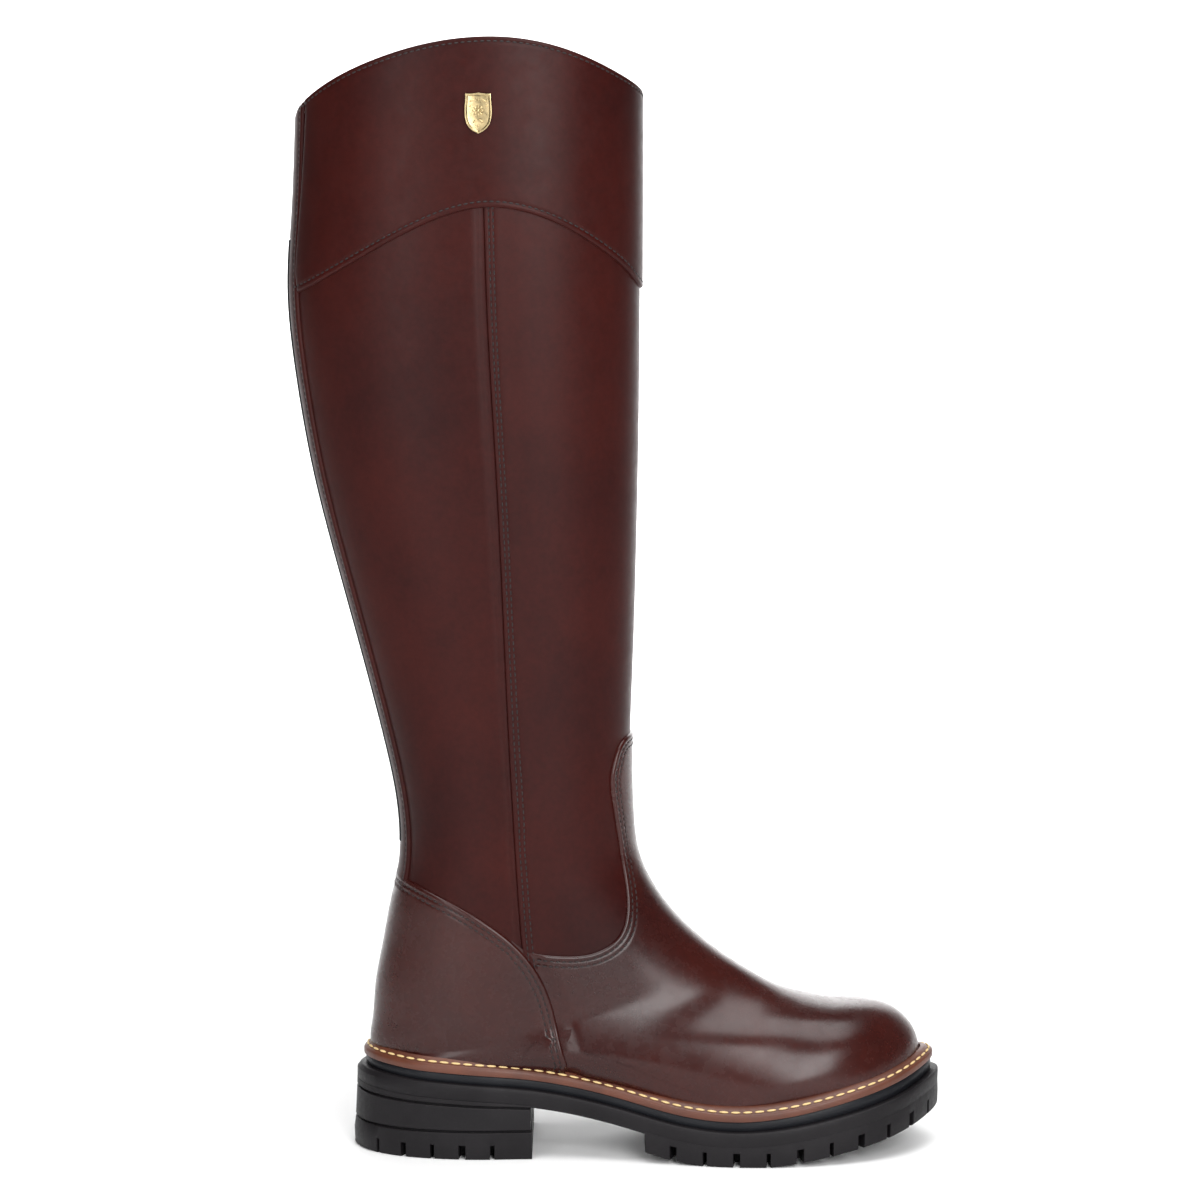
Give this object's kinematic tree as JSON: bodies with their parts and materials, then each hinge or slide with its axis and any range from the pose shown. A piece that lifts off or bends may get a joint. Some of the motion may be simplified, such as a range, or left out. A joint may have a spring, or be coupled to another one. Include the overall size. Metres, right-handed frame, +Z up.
{
  "type": "knee-high riding boot",
  "caption": "Knee-high leather riding boot for the right foot, with a cuff, a lug sole, an elastic back and an inner-side zip.",
  "frame": {"origin": "on the ground, at the middle of the whole boot's length and width", "axes": "+X towards the toe, +Z up the shaft, -Y towards the outer side of the leg"},
  "size_m": [0.292, 0.099, 0.4992],
  "materials": {
    "shaft_leather": "smooth satin oxblood-brown calf leather",
    "foot_leather": "polished oxblood-brown leather with a fine grain",
    "lining_leather": "matt tan lining leather",
    "elastic_web": "ribbed black elastic webbing",
    "welt_leather": "tan-brown welt leather, waxed edge",
    "linen_thread": "waxed cream-yellow thread",
    "midsole_rubber": "smooth black rubber",
    "sole_rubber": "matt black moulded rubber",
    "badge_brass": "polished pale gold plate",
    "zip_metal": "antique brass",
    "zip_web": "dark brown woven tape",
    "fibre_board": "pressed fibre board",
    "sock_foam": "leather-covered foam footbed",
    "cork": "granulated cork",
    "steel": "sprung steel strip",
    "stiffener": "resin-stiffened non-woven"
  },
  "bodies": {
    "boot": {"cuff_front": "shaft_leather", "cuff_rear": "shaft_leather", "front_shaft_panel": "shaft_leather", "rear_lateral_panel": "shaft_leather", "rear_medial_panel": "shaft_leather", "back_strip": "shaft_leather", "elastic_gore": "elastic_web", "vamp": "foot_leather", "heel_foxing": "foot_leather", "shaft_lining": "lining_leather", "foot_lining": "lining_leather", "heel_counter": "stiffener", "toe_puff": "stiffener", "insole_board": "fibre_board", "sock_liner": "sock_foam", "welt": "welt_leather", "welt_thread": "linen_thread", "bottom_filler": "cork", "shank": "steel", "midsole": "midsole_rubber", "outsole": "sole_rubber", "heel_lift": "sole_rubber", "heel_tread": "sole_rubber", "zip_tape_front": "zip_web", "zip_tape_rear": "zip_web", "zip_underlay": "lining_leather", "zip_row_front": "zip_metal", "zip_row_rear": "zip_metal", "zip_stop_front": "zip_metal", "zip_stop_rear": "zip_metal", "zip_bottom_stop": "zip_metal", "badge": "badge_brass", "badge_backing": "steel"},
    "slider": {"zip_slider": "zip_metal"},
    "puller": {"zip_puller": "zip_metal"}
  },
  "joints": [
    {"name": "zip_slide", "type": "slide", "parent": "boot", "child": "slider", "axis": [0.0464, -0.0206, -0.9987], "range_m": [0, 0.285]},
    {"name": "puller_hinge", "type": "hinge", "parent": "slider", "child": "puller", "pos_m": [-0.0588, 0.04383, 0.44096], "axis": [0.9989, 0.001, 0.0464], "range_deg": [0, 165]}
  ]
}
